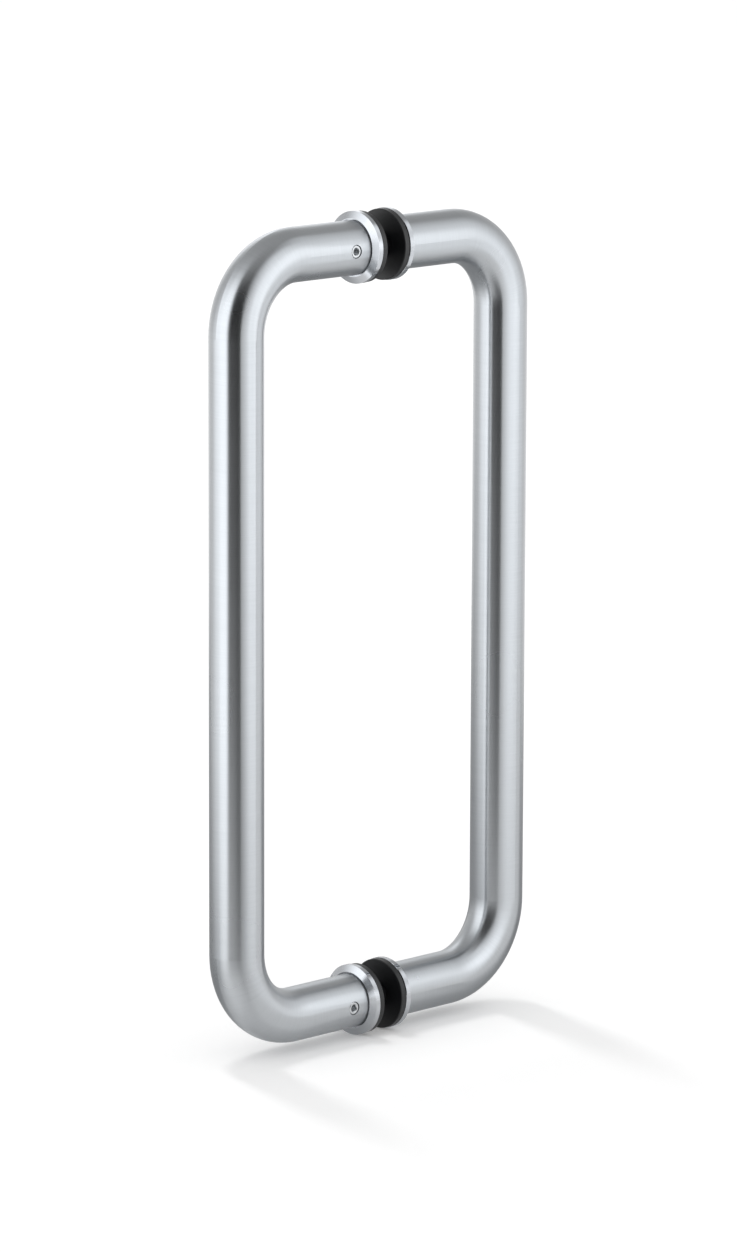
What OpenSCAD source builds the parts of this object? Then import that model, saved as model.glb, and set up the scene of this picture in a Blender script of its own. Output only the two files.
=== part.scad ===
// Pair of D-shaped pull handles for a glass door, clamped to each other through the glass.
// Origin: middle of the glass, half way up. +Z is up, -Y is the front of the door, and X runs
// along the glass. The front handle hides the bolts and is locked by a set screw in each arm.

/* [Handle tubes] */
// Outside diameter of the tube
tube_d = 25; // [23:0.5:30]
// Wall thickness of the tube
tube_wall = 1.5; // [1.2:0.1:2.5]
// Distance between the centre lines of the two arms
arm_spacing = 350; // [200:1:600]
// Distance from the middle of the glass to the centre line of the grip
grip_reach = 84; // [78:1:120]
// Radius of the bends on the tube's centre line
bend_r = 34; // [26:1:40]
// Chamfer on the outside edge of each tube end
tube_edge = 0.3; // [0.1:0.1:0.8]

/* [Door glass] */
// Thickness of the glass that the handles clamp
glass_t = 11; // [8:0.5:15]

/* [Gaskets] */
// Thickness of each rubber gasket
gasket_t = 3; // [1.5:0.5:5]
// How far the edge of a gasket lies inside the edge of its rose
gasket_inset = 0.25; // [0:0.05:1]
// Chamfer on both edges of a gasket
gasket_edge = 0.3; // [0.1:0.1:0.5]
// Gap between a gasket and the sleeve that passes through it
gasket_gap = 0.25; // [0.1:0.05:0.5]

/* [Roses] */
// How far a rose stands out round the tube
rose_flange = 4; // [2:0.5:8]
// Width of the straight rim of a rose
rose_rim = 2.6; // [2:0.2:5]
// Height of the bevel between the rim and the tube
rose_bevel = 1.4; // [0.8:0.1:3]
// Depth of the recess that takes the tube end
rose_recess = 1; // [0.4:0.1:1.5]
// Gap between the tube and the wall of the recess
recess_gap = 0.5; // [0.2:0.1:0.8]
// Width of the flat lip round the recess
rose_lip = 0.3; // [0.1:0.1:0.6]
// Chamfer on the back edge of the rim
rose_edge = 0.2; // [0.1:0.1:0.6]

/* [Bolts] */
// Thread diameter of the bolts
bolt_d = 8; // [6:1:9]
// Length of thread in the rear handle
bolt_grip = 14; // [8:1:16]
// Chamfer on the end of the thread
bolt_edge = 1; // [0.4:0.2:1.4]
// Diameter of the round head that the front handle slides over
head_d = 14; // [13:0.5:16]
// Depth of the groove in the head that the set screw bites into
groove_depth = 0.8; // [0.4:0.1:1.2]
// How much wider the bottom of the groove is than the point of the set screw
groove_play = 0.4; // [0.2:0.1:1]
// Length of head between the groove and its outer end
head_land = 1.4; // [1:0.2:3]
// Width across the flats of the hexagon socket in the head
head_hex = 6; // [4:1:8]
// Depth of the hexagon socket in the head
head_hex_depth = 6; // [3:0.5:8]
// Chamfer on the outer edge of the head
head_edge = 0.6; // [0.2:0.2:1]

/* [Inserts] */
// Gap between a bolt head and the wall of its socket
head_gap = 0.2; // [0.1:0.05:0.4]
// Free depth behind a bolt's end, in both kinds of insert
insert_room = 1; // [0.5:0.5:3]
// Thickness of the closed end of an insert
insert_web = 4; // [2:0.5:6]
// Chamfer on the inner edge of an insert
insert_edge = 1; // [0.4:0.2:1.4]

/* [Sleeves] */
// Outside diameter of the sleeve in the hole of the glass
sleeve_d = 12; // [11.5:0.5:16]
// Gap between a bolt and the sleeve and roses round it
bolt_gap = 0.25; // [0.1:0.05:0.4]
// Chamfer on the edges of the sleeve
sleeve_edge = 0.4; // [0.1:0.1:0.6]

/* [Set screws] */
// Thread diameter of the set screws
screw_d = 6; // [5:0.5:7]
// Distance from the tube end to the centre line of a set screw
screw_place = 10; // [6:0.5:14]
// Depth of the set screw's face below the crown of the tube
screw_sink = 0.3; // [0.2:0.1:0.8]
// Gap between the set screw and the hole in the tube
screw_gap = 0.15; // [0.05:0.05:0.3]
// Width across the flats of the hexagon socket
screw_hex = 3; // [2:0.5:3.5]
// Depth of the hexagon socket
screw_hex_depth = 3; // [2:0.5:4]
// Chamfer round the face of a set screw
screw_edge = 0.4; // [0.1:0.1:0.6]
// Height of the cone at the point of a set screw
screw_point = 1; // [0.5:0.1:1.5]

/* [Hidden] */

$fn = 96;
FRONT = -1;
REAR = 1;
UPPER = 1;
LOWER = -1;
HEX = 6;
RIGHT_ANGLE = 90;
CUT = 1; // how far a cutting shape runs past the face that it cuts

tube_r = tube_d / 2;
bore_r = tube_r - tube_wall;
rose_r = tube_r + rose_flange;
gasket_r = rose_r - gasket_inset;
bolt_r = bolt_d / 2;
bolt_hole_r = bolt_r + bolt_gap;
head_r = head_d / 2;
screw_r = screw_d / 2;
point_r = screw_r - screw_point;
sleeve_r = sleeve_d / 2;

// Distances from the middle of the glass, outwards along an arm
glass_face = glass_t / 2;
rose_back = glass_face + gasket_t;
rose_face = rose_back + rose_rim + rose_bevel;
tube_end = rose_face - rose_recess;
screw_y = tube_end + screw_place;
bend_y = grip_reach - bend_r;
bend_z = arm_spacing / 2 - bend_r;

// A bolt head reaches from the floor of the rose's recess to past its groove
groove_floor = point_r + groove_play / 2;
groove_half = groove_floor + groove_depth;
head_len = screw_place + groove_half + head_land;
front_insert_len = head_len + insert_room + insert_web;
rear_hole = bolt_grip + insert_room;
rear_insert_len = rear_hole + insert_web;

// A set screw reaches from under the tube's crown to the bottom of the groove
screw_top = tube_r - screw_sink;
screw_tip = head_r - groove_depth;

STEEL = "#b9bec4";
BRIGHT = "#d6d9dc";
DARK_STEEL = "#8f959c";
RUBBER = "#1d1e22";
NYLON = "#17181a";

// Puts a shape that points along +Z onto an arm, pointing away from the glass
module on_arm(face, level) {
    translate([0, 0, level * arm_spacing / 2])
        rotate([-RIGHT_ANGLE * face, 0, 0])
            children();
}

// A turned ring between two radii, with chamfered outer edges
module turned_ring(inner_r, outer_r, low, high, low_edge, high_edge) {
    rotate_extrude()
        polygon([
            [inner_r, low],
            [outer_r - low_edge, low],
            [outer_r, low + low_edge],
            [outer_r, high - high_edge],
            [outer_r - high_edge, high],
            [inner_r, high]
        ]);
}

// A hexagon socket that opens towards +Z, with a countersunk mouth
module hex_socket(flats, depth, mouth) {
    corner_r = flats / 2 / cos(RIGHT_ANGLE / 3);
    translate([0, 0, -depth])
        cylinder(r = corner_r, h = depth + CUT, $fn = HEX);
    translate([0, 0, -mouth])
        cylinder(r1 = flats / 2, r2 = flats / 2 + mouth + CUT, h = mouth + CUT);
}

module tube_section() {
    difference() {
        circle(r = tube_r);
        circle(r = bore_r);
    }
}

// The quarter bend between the grip and one arm, turned into the plane of the handle
module bend(face, level) {
    mirror([0, face == FRONT ? 1 : 0, 0])
        mirror([0, 0, level == LOWER ? 1 : 0])
            translate([0, bend_y, bend_z])
                rotate([RIGHT_ANGLE, 0, RIGHT_ANGLE])
                    rotate_extrude(angle = RIGHT_ANGLE)
                        translate([bend_r, 0])
                            tube_section();
}

// One bent tube: the upright grip, two bends and two arms with chamfered ends
module handle_tube(face) {
    difference() {
        union() {
            translate([0, face * grip_reach, -bend_z])
                linear_extrude(2 * bend_z)
                    tube_section();
            for (level = [LOWER, UPPER]) {
                bend(face, level);
                on_arm(face, level)
                    translate([0, 0, bend_y])
                        turned_ring(bore_r, tube_r, tube_end - bend_y, 0, tube_edge, 0);
            }
        }
        if (face == FRONT)
            for (level = [LOWER, UPPER])
                on_arm(face, level)
                    screw_hole(screw_r + screw_gap);
    }
}

// The hole for a set screw, through the wall on the +X side only
module screw_hole(r) {
    translate([0, 0, screw_y])
        rotate([0, RIGHT_ANGLE, 0])
            cylinder(r = r, h = tube_r + CUT);
}

// A plug fixed in the tube end. Its socket slides over the bolt head
module front_insert(level) {
    color(DARK_STEEL)
        on_arm(FRONT, level)
            difference() {
                turned_ring(0, bore_r, tube_end, tube_end + front_insert_len, 0, insert_edge);
                translate([0, 0, tube_end - CUT])
                    cylinder(r = head_r + head_gap, h = head_len + insert_room + CUT);
                screw_hole(screw_r);
            }
}

// A plug fixed in the tube end, tapped for the bolt
module rear_insert(level) {
    color(DARK_STEEL)
        on_arm(REAR, level)
            difference() {
                turned_ring(0, bore_r, tube_end, tube_end + rear_insert_len, 0, insert_edge);
                translate([0, 0, tube_end - CUT])
                    cylinder(r = bolt_r, h = rear_hole + CUT);
            }
}

// A stud with a round head: the head clamps the front rose, the thread pulls the rear handle in
module bolt(level) {
    head_end = tube_end + head_len;
    color(BRIGHT)
        on_arm(FRONT, level)
            difference() {
                rotate_extrude()
                    polygon([
                        [0, -tube_end - bolt_grip],
                        [bolt_r - bolt_edge, -tube_end - bolt_grip],
                        [bolt_r, -tube_end - bolt_grip + bolt_edge],
                        [bolt_r, tube_end],
                        [head_r, tube_end],
                        [head_r, screw_y - groove_half],
                        [screw_tip, screw_y - groove_floor],
                        [screw_tip, screw_y + groove_floor],
                        [head_r, screw_y + groove_half],
                        [head_r, head_end - head_edge],
                        [head_r - head_edge, head_end],
                        [0, head_end]
                    ]);
                translate([0, 0, head_end])
                    hex_socket(head_hex, head_hex_depth, head_edge);
            }
}

// A turned cap ring: straight rim, bevel, flat lip and a recess that takes the tube end
module rose(face, level) {
    lip_r = tube_r + recess_gap;
    color(STEEL)
        on_arm(face, level)
            rotate_extrude()
                polygon([
                    [bolt_hole_r, rose_back],
                    [rose_r - rose_edge, rose_back],
                    [rose_r, rose_back + rose_edge],
                    [rose_r, rose_back + rose_rim],
                    [lip_r + rose_lip, rose_face],
                    [lip_r, rose_face],
                    [lip_r, tube_end],
                    [bolt_hole_r, tube_end]
                ]);
}

module gasket(face, level) {
    color(RUBBER)
        on_arm(face, level)
            turned_ring(sleeve_r + gasket_gap, gasket_r, glass_face, rose_back, gasket_edge, gasket_edge);
}

// Keeps the bolt off the glass. It reaches through both gaskets, from one rose to the other
module sleeve(level) {
    color(NYLON)
        on_arm(FRONT, level)
            turned_ring(bolt_hole_r, sleeve_r, -rose_back, rose_back, sleeve_edge, sleeve_edge);
}

module set_screw(level) {
    color(BRIGHT)
        on_arm(FRONT, level)
            translate([0, 0, screw_y])
                rotate([0, RIGHT_ANGLE, 0])
                    difference() {
                        rotate_extrude()
                            polygon([
                                [0, screw_tip],
                                [point_r, screw_tip],
                                [screw_r, screw_tip + screw_point],
                                [screw_r, screw_top - screw_edge],
                                [screw_r - screw_edge, screw_top],
                                [0, screw_top]
                            ]);
                        translate([0, 0, screw_top])
                            hex_socket(screw_hex, screw_hex_depth, screw_edge);
                    }
}

module front_tube() { color(STEEL) handle_tube(FRONT); }
module rear_tube() { color(STEEL) handle_tube(REAR); }
module front_insert_upper() { front_insert(UPPER); }
module front_insert_lower() { front_insert(LOWER); }
module rear_insert_upper() { rear_insert(UPPER); }
module rear_insert_lower() { rear_insert(LOWER); }
module bolt_upper() { bolt(UPPER); }
module bolt_lower() { bolt(LOWER); }
module front_rose_upper() { rose(FRONT, UPPER); }
module front_rose_lower() { rose(FRONT, LOWER); }
module rear_rose_upper() { rose(REAR, UPPER); }
module rear_rose_lower() { rose(REAR, LOWER); }
module front_gasket_upper() { gasket(FRONT, UPPER); }
module front_gasket_lower() { gasket(FRONT, LOWER); }
module rear_gasket_upper() { gasket(REAR, UPPER); }
module rear_gasket_lower() { gasket(REAR, LOWER); }
module sleeve_upper() { sleeve(UPPER); }
module sleeve_lower() { sleeve(LOWER); }
module set_screw_upper() { set_screw(UPPER); }
module set_screw_lower() { set_screw(LOWER); }

front_tube();
rear_tube();
front_insert_upper();
front_insert_lower();
rear_insert_upper();
rear_insert_lower();
bolt_upper();
bolt_lower();
front_rose_upper();
front_rose_lower();
rear_rose_upper();
rear_rose_lower();
front_gasket_upper();
front_gasket_lower();
rear_gasket_upper();
rear_gasket_lower();
sleeve_upper();
sleeve_lower();
set_screw_upper();
set_screw_lower();
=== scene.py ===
"""Satin stainless pull handles for a glass door, back to back, as they stand in a white studio.

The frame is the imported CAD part, in metres: +Z up, -Y the front of the door, X along the glass.
"""

import math

import bpy
import numpy as np
from mathutils import Matrix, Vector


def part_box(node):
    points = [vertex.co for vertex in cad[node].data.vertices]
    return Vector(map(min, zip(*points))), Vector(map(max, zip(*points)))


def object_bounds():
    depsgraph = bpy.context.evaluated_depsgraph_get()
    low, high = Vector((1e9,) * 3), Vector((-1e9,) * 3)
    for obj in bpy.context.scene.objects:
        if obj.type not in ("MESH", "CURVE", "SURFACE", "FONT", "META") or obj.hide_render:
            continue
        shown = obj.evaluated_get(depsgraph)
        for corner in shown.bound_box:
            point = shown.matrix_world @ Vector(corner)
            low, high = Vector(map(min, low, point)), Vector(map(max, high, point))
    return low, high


MM = 0.001

# The photograph's camera: found by fitting the part's outline to both tubes
CAMERA_PLACE = (1.88713, -1.85588, 0.50460)
CAMERA_AZIMUTH = 45.495
CAMERA_ELEVATION = 10.804
CAMERA_ROLL = 0.199
FOCAL_LENGTH = 169.03
SENSOR = 36.0


def linear(hex_code, alpha=1.0):
    """Turns an sRGB hex colour into the linear values that shaders take."""
    parts = [int(hex_code[i : i + 2], 16) / 255 for i in (0, 2, 4)]
    return [c / 12.92 if c <= 0.04045 else ((c + 0.055) / 1.055) ** 2.4 for c in parts] + [alpha]


def add_node(tree, kind, inputs=None, **settings):
    """Adds a node, sets its settings, and fills its inputs with values or links from sockets."""
    node = tree.nodes.new(kind)
    for name, value in settings.items():
        setattr(node, name, value)
    for key, value in (inputs or {}).items():
        if isinstance(value, bpy.types.NodeSocket):
            tree.links.new(value, node.inputs[key])
        else:
            node.inputs[key].default_value = value
    return node


def new_material(name):
    """A material with an empty node tree, and its output node."""
    material = bpy.data.materials.new(name)
    material.use_nodes = True
    material.node_tree.nodes.clear()
    return material, material.node_tree, material.node_tree.nodes.new("ShaderNodeOutputMaterial")


def finish_in(node, material):
    """Gives a CAD node its finish by its material slots. Its mesh stays as it is."""
    for index in range(max(1, len(node.data.materials))):
        if index < len(node.data.materials):
            node.data.materials[index] = material
        else:
            node.data.materials.append(material)


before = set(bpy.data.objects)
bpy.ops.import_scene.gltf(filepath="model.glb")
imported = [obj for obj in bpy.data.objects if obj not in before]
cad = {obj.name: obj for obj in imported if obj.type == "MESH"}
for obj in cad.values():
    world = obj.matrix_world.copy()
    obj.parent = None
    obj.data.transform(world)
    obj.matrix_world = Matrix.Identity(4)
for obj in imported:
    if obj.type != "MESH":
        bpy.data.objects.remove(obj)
cad_low, cad_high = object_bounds()

# The centre line of the tubes: straight grips and arms, and bends of one radius between them
BEND_RADIUS = 34 * MM
tube_low, tube_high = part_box("front_tube")
tube_radius = tube_high[0]
arm_height = tube_high[2] - tube_radius
bend_y = -tube_low[1] - tube_radius - BEND_RADIUS
bend_z = arm_height - BEND_RADIUS
rose_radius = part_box("rear_rose_upper")[1][0]

# Materials

# Satin grain: a 240 grit belt leaves lines about 0.1 mm wide and 10 to 20 mm long. They are drawn
# wider than that, because so fine a line would not show
GRAIN_WIDTH = 0.5 * MM
GRAIN_LENGTH = 14 * MM
# Lathe feed marks on a turned face, drawn at three times their real pitch of 0.1 mm
FEED_PITCH = 0.3 * MM
# Height of the grain and of the feed marks
BUMP_HEIGHT = 0.001 * MM
# Size of the slow clouds that a hand and a cloth leave in the satin
CLOUD_SIZE = 60 * MM
# The polish of the rim starts over this stretch, measured inwards from its edge
POLISH_START, POLISH_END = 0.15 * MM, 0.05 * MM
# Fine pits in machined steel, and the skin that a mould gives rubber and nylon
PIT_SIZE, PIT_DEPTH = 0.8 * MM, 0.01 * MM
SKIN_SIZE, SKIN_DEPTH = 0.6 * MM, 0.02 * MM
ROUGHNESS_SPREAD = 0.05


def satin_tube():
    """Stainless steel tube, satin finished by an abrasive belt that runs round the tube.

    The eye gets clear dark and light stripes along the tube, smeared lengthways, under a faint
    grain that runs round it. The tangent follows the centre line, and the grain is noise that is
    stretched round the tube and counted by the length along the centre line.
    """
    material, tree, out = new_material("satin_stainless_tube")
    place = add_node(tree, "ShaderNodeTexCoord").outputs["Object"]
    side = add_node(tree, "ShaderNodeVectorMath", {0: place}, operation="SIGN").outputs[0]
    size = add_node(tree, "ShaderNodeVectorMath", {0: place}, operation="ABSOLUTE").outputs[0]
    past = add_node(
        tree, "ShaderNodeVectorMath", {0: size, 1: (0, bend_y, bend_z)}, operation="SUBTRACT"
    ).outputs[0]
    past = add_node(
        tree, "ShaderNodeVectorMath", {0: past, 1: (0, 0, 0)}, operation="MAXIMUM"
    ).outputs[0]
    outward = add_node(
        tree, "ShaderNodeVectorMath", {0: past, 1: side}, operation="MULTIPLY"
    ).outputs[0]
    along = add_node(
        tree, "ShaderNodeVectorMath", {0: (1, 0, 0), 1: outward}, operation="CROSS_PRODUCT"
    ).outputs[0]
    along = add_node(
        tree, "ShaderNodeVectorMath", {0: along}, operation="NORMALIZE"
    ).outputs[0]

    sizes = add_node(tree, "ShaderNodeSeparateXYZ", {0: size}).outputs
    steps = add_node(tree, "ShaderNodeSeparateXYZ", {0: past}).outputs
    grip = add_node(tree, "ShaderNodeMath", {0: sizes[2], 1: bend_z}, operation="MINIMUM")
    turn = add_node(tree, "ShaderNodeMath", {0: steps[2], 1: steps[1]}, operation="ARCTAN2")
    bend = add_node(
        tree, "ShaderNodeMath",
        {0: turn.outputs[0], 1: BEND_RADIUS, 2: grip.outputs[0]}, operation="MULTIPLY_ADD",
    )
    arm = add_node(tree, "ShaderNodeMath", {0: sizes[1], 1: bend_y}, operation="MINIMUM")
    run = add_node(
        tree, "ShaderNodeMath", {0: bend.outputs[0], 1: arm.outputs[0]}, operation="SUBTRACT"
    )
    count = add_node(
        tree, "ShaderNodeMath", {0: run.outputs[0], 1: 1 / GRAIN_WIDTH}, operation="MULTIPLY"
    )
    shift = add_node(tree, "ShaderNodeCombineXYZ", {0: count.outputs[0]})
    spot = add_node(
        tree, "ShaderNodeVectorMath", {0: outward, 3: 1 / GRAIN_LENGTH}, operation="SCALE"
    )
    spot = add_node(
        tree, "ShaderNodeVectorMath", {0: spot.outputs[0], 1: shift.outputs[0]}, operation="ADD"
    )
    grain = add_node(
        tree, "ShaderNodeTexNoise",
        {"Vector": spot.outputs[0], "Scale": 1.0, "Detail": 1.0, "Roughness": 0.5},
    ).outputs[0]
    cloud = add_node(
        tree, "ShaderNodeTexNoise", {"Vector": place, "Scale": 1 / CLOUD_SIZE, "Detail": 2.0}
    ).outputs[0]
    tone = add_node(
        tree, "ShaderNodeMix", {0: grain, 6: linear("b0b3b6"), 7: linear("babdc0")},
        data_type="RGBA",
    )
    rough = add_node(
        tree, "ShaderNodeMapRange",
        {"Value": cloud, "From Min": 0.3, "From Max": 0.7, "To Min": 0.27, "To Max": 0.295},
    )
    bump = add_node(
        tree, "ShaderNodeBump", {"Height": grain, "Strength": 1.0, "Distance": BUMP_HEIGHT}
    )
    shader = add_node(
        tree,
        "ShaderNodeBsdfPrincipled",
        {
            "Base Color": tone.outputs[2],
            "Metallic": 1.0,
            "Roughness": rough.outputs[0],
            "Anisotropic": 0.895,
            "Tangent": along,
            "Normal": bump.outputs[0],
        },
    )
    tree.links.new(shader.outputs[0], out.inputs[0])
    return material


def turned_rose():
    """Stainless steel rose, turned on a lathe: a satin bevel with fine rings and a bright rim.

    The tangent points across the rings, and the rings are noise of the distance from the axis.
    """
    material, tree, out = new_material("turned_stainless_rose")
    place = add_node(tree, "ShaderNodeTexCoord").outputs["Object"]
    side = add_node(tree, "ShaderNodeVectorMath", {0: place}, operation="SIGN").outputs[0]
    axis = add_node(
        tree, "ShaderNodeVectorMath", {0: side, 1: (0, 0, arm_height)}, operation="MULTIPLY"
    ).outputs[0]
    from_axis = add_node(
        tree, "ShaderNodeVectorMath", {0: place, 1: axis}, operation="SUBTRACT"
    ).outputs[0]
    from_axis = add_node(
        tree, "ShaderNodeVectorMath", {0: from_axis, 1: (1, 0, 1)}, operation="MULTIPLY"
    ).outputs[0]
    distance = add_node(
        tree, "ShaderNodeVectorMath", {0: from_axis}, operation="LENGTH"
    ).outputs["Value"]
    radial = add_node(
        tree, "ShaderNodeVectorMath", {0: from_axis}, operation="NORMALIZE"
    ).outputs[0]
    outwards = add_node(
        tree, "ShaderNodeVectorMath", {0: side, 1: (0, 1, 0)}, operation="MULTIPLY"
    ).outputs[0]
    across = add_node(
        tree, "ShaderNodeVectorMath", {0: outwards, 1: radial}, operation="SUBTRACT"
    ).outputs[0]
    across = add_node(
        tree, "ShaderNodeVectorMath", {0: across}, operation="NORMALIZE"
    ).outputs[0]
    rings = add_node(
        tree, "ShaderNodeTexNoise", {"W": distance, "Scale": 1 / FEED_PITCH, "Detail": 2.0},
        noise_dimensions="1D",
    ).outputs[0]
    tone = add_node(
        tree, "ShaderNodeMix", {0: rings, 6: linear("b2b5b9"), 7: linear("bfc1c4")},
        data_type="RGBA",
    )
    # The rim is polished, so the roughness drops just before it
    rough = add_node(
        tree, "ShaderNodeMapRange",
        {
            "Value": distance,
            "From Min": rose_radius - POLISH_START,
            "From Max": rose_radius - POLISH_END,
            "To Min": 0.17,
            "To Max": 0.10,
        },
    )
    bump = add_node(
        tree, "ShaderNodeBump", {"Height": rings, "Strength": 1.0, "Distance": BUMP_HEIGHT}
    )
    shader = add_node(
        tree,
        "ShaderNodeBsdfPrincipled",
        {
            "Base Color": tone.outputs[2],
            "Metallic": 1.0,
            "Roughness": rough.outputs[0],
            "Anisotropic": 0.5,
            "Tangent": across,
            "Normal": bump.outputs[0],
        },
    )
    tree.links.new(shader.outputs[0], out.inputs[0])
    return material


def bright_fixing(name, shade, roughness):
    """Machined steel of a hidden fixing: even and a little duller than the tube, with fine pits."""
    material, tree, out = new_material(name)
    place = add_node(tree, "ShaderNodeTexCoord").outputs["Object"]
    pits = add_node(
        tree, "ShaderNodeTexNoise", {"Vector": place, "Scale": 1 / PIT_SIZE, "Detail": 3.0}
    ).outputs[0]
    rough = add_node(
        tree, "ShaderNodeMapRange",
        {
            "Value": pits,
            "From Min": 0.35,
            "From Max": 0.65,
            "To Min": roughness - ROUGHNESS_SPREAD,
            "To Max": roughness + ROUGHNESS_SPREAD,
        },
    )
    bump = add_node(
        tree, "ShaderNodeBump", {"Height": pits, "Strength": 1.0, "Distance": PIT_DEPTH}
    )
    shader = add_node(
        tree,
        "ShaderNodeBsdfPrincipled",
        {
            "Base Color": linear(shade),
            "Metallic": 1.0,
            "Roughness": rough.outputs[0],
            "Normal": bump.outputs[0],
        },
    )
    tree.links.new(shader.outputs[0], out.inputs[0])
    return material


def moulded_black(name, shade, dusty, roughness):
    """Black rubber or nylon from a mould: a fine matt skin with a faint grey mottle."""
    material, tree, out = new_material(name)
    place = add_node(tree, "ShaderNodeTexCoord").outputs["Object"]
    skin = add_node(
        tree, "ShaderNodeTexNoise", {"Vector": place, "Scale": 1 / SKIN_SIZE, "Detail": 4.0}
    ).outputs[0]
    tone = add_node(
        tree, "ShaderNodeMix", {0: skin, 6: linear(shade), 7: linear(dusty)}, data_type="RGBA"
    )
    bump = add_node(
        tree, "ShaderNodeBump", {"Height": skin, "Strength": 1.0, "Distance": SKIN_DEPTH}
    )
    shader = add_node(
        tree,
        "ShaderNodeBsdfPrincipled",
        {
            "Base Color": tone.outputs[2],
            "Roughness": roughness,
            "Normal": bump.outputs[0],
        },
    )
    tree.links.new(shader.outputs[0], out.inputs[0])
    return material


FINISHES = {
    "tube": satin_tube(),
    "rose": turned_rose(),
    "gasket": moulded_black("moulded_black_rubber", "050608", "0c0d10", 0.42),
    "sleeve": moulded_black("moulded_black_nylon", "0c0c0e", "151517", 0.35),
    "bolt": bright_fixing("machined_stainless_bolt", "b4b6b8", 0.28),
    "insert": bright_fixing("turned_steel_insert", "a3a5a8", 0.34),
    "screw": bright_fixing("machined_stainless_set_screw", "c0c2c4", 0.22),
}
for name, node in cad.items():
    kind = next(kind for kind in FINISHES if kind in name.split("_"))
    finish_in(node, FINISHES[kind])

# Studio

turn = math.radians(CAMERA_AZIMUTH)
RIGHT = np.array([math.cos(turn), math.sin(turn), 0.0])
NEAR = np.array([math.sin(turn), -math.cos(turn), 0.0])
UP = np.array([0.0, 0.0, 1.0])
floor_z = cad_low.z

# Upright cards stand round the part, and dark patches lie flat on the floor. They show in gloss
# alone:
# the patches are painted shade in the reflections, where the floor itself looks white.
# A bearing is seen from the part, 0 towards the camera and positive to the camera's right.
# Each is: bearing, distance, half width, side fade, foot, top, end fade, glow, where foot and top
# are heights above the floor
CARDS = {
    "slot": (-21, 0.624, 0.420, 0.02, 0.0, 1.05, 0.03, 0.0),
    "left": (-53, 0.393, 0.109, 0.10, -0.295, 0.732, 0.224, 2.16),
    "left_wide": (-74.7, 0.792, 0.302, 0.60, -0.209, 1.022, 0.716, 2.0),
    "right": (59, 0.580, 0.266, 0.58, -0.300, 1.135, 0.682, 1.8),
    "right_far": (68, 1.000, 0.347, 0.176, 0.272, 0.927, 0.514, 4.77),
    "back_left": (-167, 0.974, 0.273, 0.60, 0.600, 0.883, 0.683, 2.7),
    "back_right": (103.5, 0.279, 0.064, 0.127, 0.139, 0.943, 0.161, 1.37),
}
# Each dark patch is painted shade that only the reflections show. Each is: place to the right,
# place towards the camera, half width, half depth, turn in degrees, fade, glow
REFLECTED_DARK_PATCHES = {
    "cloth_front": (0.044, 0.402, 0.123, 0.196, -15.6, 0.256, 0.15),
    "cloth_back": (-0.104, -0.513, 0.499, 0.500, 59.8, 0.059, 0.37),
}
CARD_TINT = "f9fbfd"
CARD_STEPS = 48
PATCH_HEIGHT = 0.5 * MM

FLOOR_SIZE = 16.0
FLOOR_SHADE = "f4f4f4"
FLOOR_LIFT = 0.155
ROOM_LEVEL = 0.85
HORIZON_GLOW = 0.845
ZENITH_GLOW = 0.453
# The sine of the elevation at which the room reaches its zenith glow
ZENITH_START = 0.93

# The lamp, and its share of the light on the floor
KEY_BEARING = -151
KEY_ELEVATION = 68.6
KEY_DISTANCE = 8.0
KEY_LENGTH = 2.4
KEY_WIDTH = 0.5
KEY_SHARE = 0.16


def smooth(t):
    """The smooth step from 0 to 1 as t goes from 0 to 1."""
    t = np.clip(t, 0, 1)
    return t * t * (3 - 2 * t)


def cover(place, half, fade):
    """Cover across a card: 1 inside, and a smooth step to 0 that is centred on its edge."""
    return smooth((half + fade / 2 - np.abs(place)) / fade)


def glow_card(name, middle, across, upward, half, fades, glow):
    """A flat card of one glow whose edges fade out, seen only in gloss.

    A grid of points at middle + u across + v upward, with the cover of u times the cover of v.
    """
    u, v = (np.linspace(-1, 1, CARD_STEPS) * (h + f / 2) for h, f in zip(half, fades))
    u, v = np.meshgrid(u, v)
    points = middle + u[..., None] * across + v[..., None] * upward
    index = np.arange(CARD_STEPS**2).reshape(CARD_STEPS, CARD_STEPS)
    faces = np.stack(
        [index[:-1, :-1], index[:-1, 1:], index[1:, 1:], index[1:, :-1]], -1
    ).reshape(-1, 4)
    mesh = bpy.data.meshes.new(name)
    mesh.from_pydata(points.reshape(-1, 3).tolist(), [], faces.tolist())
    strength = mesh.attributes.new("cover", "FLOAT", "POINT")
    strength.data.foreach_set(
        "value", (cover(u, half[0], fades[0]) * cover(v, half[1], fades[1])).ravel()
    )

    material, tree, out = new_material(name)
    share = add_node(tree, "ShaderNodeAttribute", attribute_name="cover").outputs["Fac"]
    clear = add_node(tree, "ShaderNodeBsdfTransparent")
    shine = add_node(
        tree, "ShaderNodeEmission", {"Color": linear(CARD_TINT), "Strength": glow}
    )
    both = add_node(
        tree, "ShaderNodeMixShader", {0: share, 1: clear.outputs[0], 2: shine.outputs[0]}
    )
    tree.links.new(both.outputs[0], out.inputs[0])
    material.cycles.emission_sampling = "NONE"
    mesh.materials.append(material)

    card = bpy.data.objects.new(name, mesh)
    bpy.context.scene.collection.objects.link(card)
    card.visible_camera = False
    card.visible_diffuse = False
    card.visible_shadow = False
    card.visible_transmission = False
    return card


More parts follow.
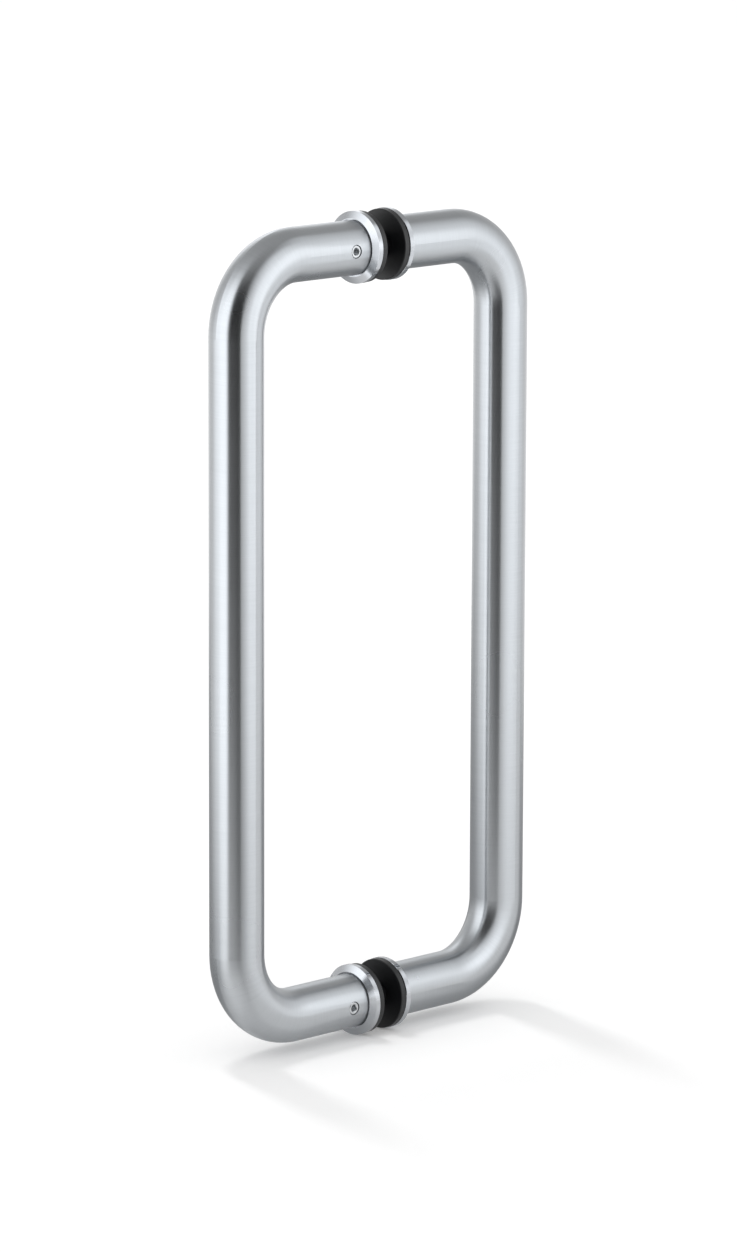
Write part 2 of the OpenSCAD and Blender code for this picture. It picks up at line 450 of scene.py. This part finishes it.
for name, (bearing, distance, width, side_fade, foot, top, end_fade, glow) in CARDS.items():
    angle = math.radians(bearing)
    facing = RIGHT * math.sin(angle) + NEAR * math.cos(angle)
    side = RIGHT * math.cos(angle) - NEAR * math.sin(angle)
    middle = facing * distance + UP * (floor_z + (foot + top) / 2)
    glow_card(
        "card_" + name, middle, side, UP, (width, (top - foot) / 2), (side_fade, end_fade), glow
    )
# Dark patches on the floor: painted shade that only the reflections show, where the camera sees
# white floor
for name, (right, near, width, depth, degrees, fade, glow) in REFLECTED_DARK_PATCHES.items():
    angle = math.radians(degrees)
    side = RIGHT * math.cos(angle) + NEAR * math.sin(angle)
    ahead = NEAR * math.cos(angle) - RIGHT * math.sin(angle)
    middle = RIGHT * right + NEAR * near + UP * (floor_z + PATCH_HEIGHT)
    glow_card(name, middle, side, ahead, (width, depth), (fade, fade), glow)


def seen(tree, *kinds):
    """1 for the kinds of ray that are named, and 0 for the rest."""
    rays = add_node(tree, "ShaderNodeLightPath").outputs
    total = rays[kinds[0]]
    for kind in kinds[1:]:
        total = add_node(
            tree, "ShaderNodeMath", {0: total, 1: rays[kind]}, operation="MAXIMUM"
        ).outputs[0]
    return total


def white_sweep():
    """White studio floor: matt paint that shows shadows, lifted to white for what looks at it."""
    material, tree, out = new_material("white_studio_floor")
    lift = add_node(
        tree, "ShaderNodeMath",
        {0: seen(tree, "Is Camera Ray", "Is Glossy Ray", "Is Transmission Ray"), 1: FLOOR_LIFT},
        operation="MULTIPLY",
    )
    paint = add_node(tree, "ShaderNodeBsdfDiffuse", {"Color": linear(FLOOR_SHADE)})
    glow = add_node(
        tree, "ShaderNodeEmission", {"Color": (1, 1, 1, 1), "Strength": lift.outputs[0]}
    )
    both = add_node(tree, "ShaderNodeAddShader", {0: paint.outputs[0], 1: glow.outputs[0]})
    tree.links.new(both.outputs[0], out.inputs[0])
    material.cycles.emission_sampling = "NONE"
    return material


half = FLOOR_SIZE / 2
mesh = bpy.data.meshes.new("studio_floor")
mesh.from_pydata(
    [(x, y, floor_z) for x, y in ((-half, -half), (half, -half), (half, half), (-half, half))],
    [], [(0, 1, 2, 3)],
)
mesh.materials.append(white_sweep())
floor = bpy.data.objects.new("studio_floor", mesh)
bpy.context.scene.collection.objects.link(floor)

# The key is a long strip above and behind the part, far enough to light the floor evenly. It
# points along the shadow of the grips, so that they alone cast a clear one
angle, climb = math.radians(KEY_BEARING), math.radians(KEY_ELEVATION)
level = RIGHT * math.sin(angle) + NEAR * math.cos(angle)
facing = level * math.cos(climb) + UP * math.sin(climb)
long_way = UP * math.cos(climb) - level * math.sin(climb)
short_way = np.cross(facing, long_way)
place = facing * KEY_DISTANCE + UP * floor_z
key = bpy.data.lights.new("key_strip", "AREA")
key.shape = "RECTANGLE"
key.size, key.size_y = KEY_WIDTH, KEY_LENGTH
key.energy = KEY_SHARE * math.pi**2 * KEY_DISTANCE**2 / math.sin(climb)
key_strip = bpy.data.objects.new("key_strip", key)
bpy.context.scene.collection.objects.link(key_strip)
key_strip.matrix_world = Matrix(
    [[short_way[i], long_way[i], facing[i], place[i]] for i in range(3)] + [[0, 0, 0, 1]]
)
key_strip.visible_camera = False
key_strip.visible_glossy = False

world = bpy.data.worlds.new("white_room")
world.use_nodes = True
tree = world.node_tree
tree.nodes.clear()
height = add_node(
    tree, "ShaderNodeSeparateXYZ",
    {0: add_node(tree, "ShaderNodeTexCoord").outputs["Generated"]},
).outputs[2]
sky = add_node(
    tree, "ShaderNodeMapRange",
    {"Value": height, "From Min": 0.0, "From Max": ZENITH_START, "To Min": HORIZON_GLOW,
     "To Max": ZENITH_GLOW},
    interpolation_type="SMOOTHSTEP",
)
gloss = add_node(
    tree, "ShaderNodeMapRange",
    {"Value": seen(tree, "Is Glossy Ray"), "To Min": ROOM_LEVEL, "To Max": sky.outputs[0]},
)
white = add_node(
    tree, "ShaderNodeMapRange",
    {"Value": seen(tree, "Is Camera Ray", "Is Transmission Ray"), "To Min": gloss.outputs[0],
     "To Max": 1.0},
)
room = add_node(
    tree, "ShaderNodeBackground", {"Color": (1, 1, 1, 1), "Strength": white.outputs[0]}
)
out = add_node(tree, "ShaderNodeOutputWorld")
tree.links.new(room.outputs[0], out.inputs[0])
bpy.context.scene.world = world

# Camera
tilt, roll = math.radians(CAMERA_ELEVATION), math.radians(CAMERA_ROLL)
ahead = -NEAR * math.cos(tilt) - UP * math.sin(tilt)
level_up = np.cross(RIGHT, ahead)
right = RIGHT * math.cos(roll) + level_up * math.sin(roll)
up = -RIGHT * math.sin(roll) + level_up * math.cos(roll)
lens = bpy.data.cameras.new("photo_camera")
lens.lens = FOCAL_LENGTH
lens.sensor_width = SENSOR
lens.clip_start, lens.clip_end = 0.01, 100.0
camera = bpy.data.objects.new("photo_camera", lens)
bpy.context.scene.collection.objects.link(camera)
camera.matrix_world = Matrix(
    [[right[i], up[i], -ahead[i], CAMERA_PLACE[i]] for i in range(3)] + [[0, 0, 0, 1]]
)
bpy.context.scene.camera = camera
bpy.context.scene.view_settings.view_transform = "Standard"
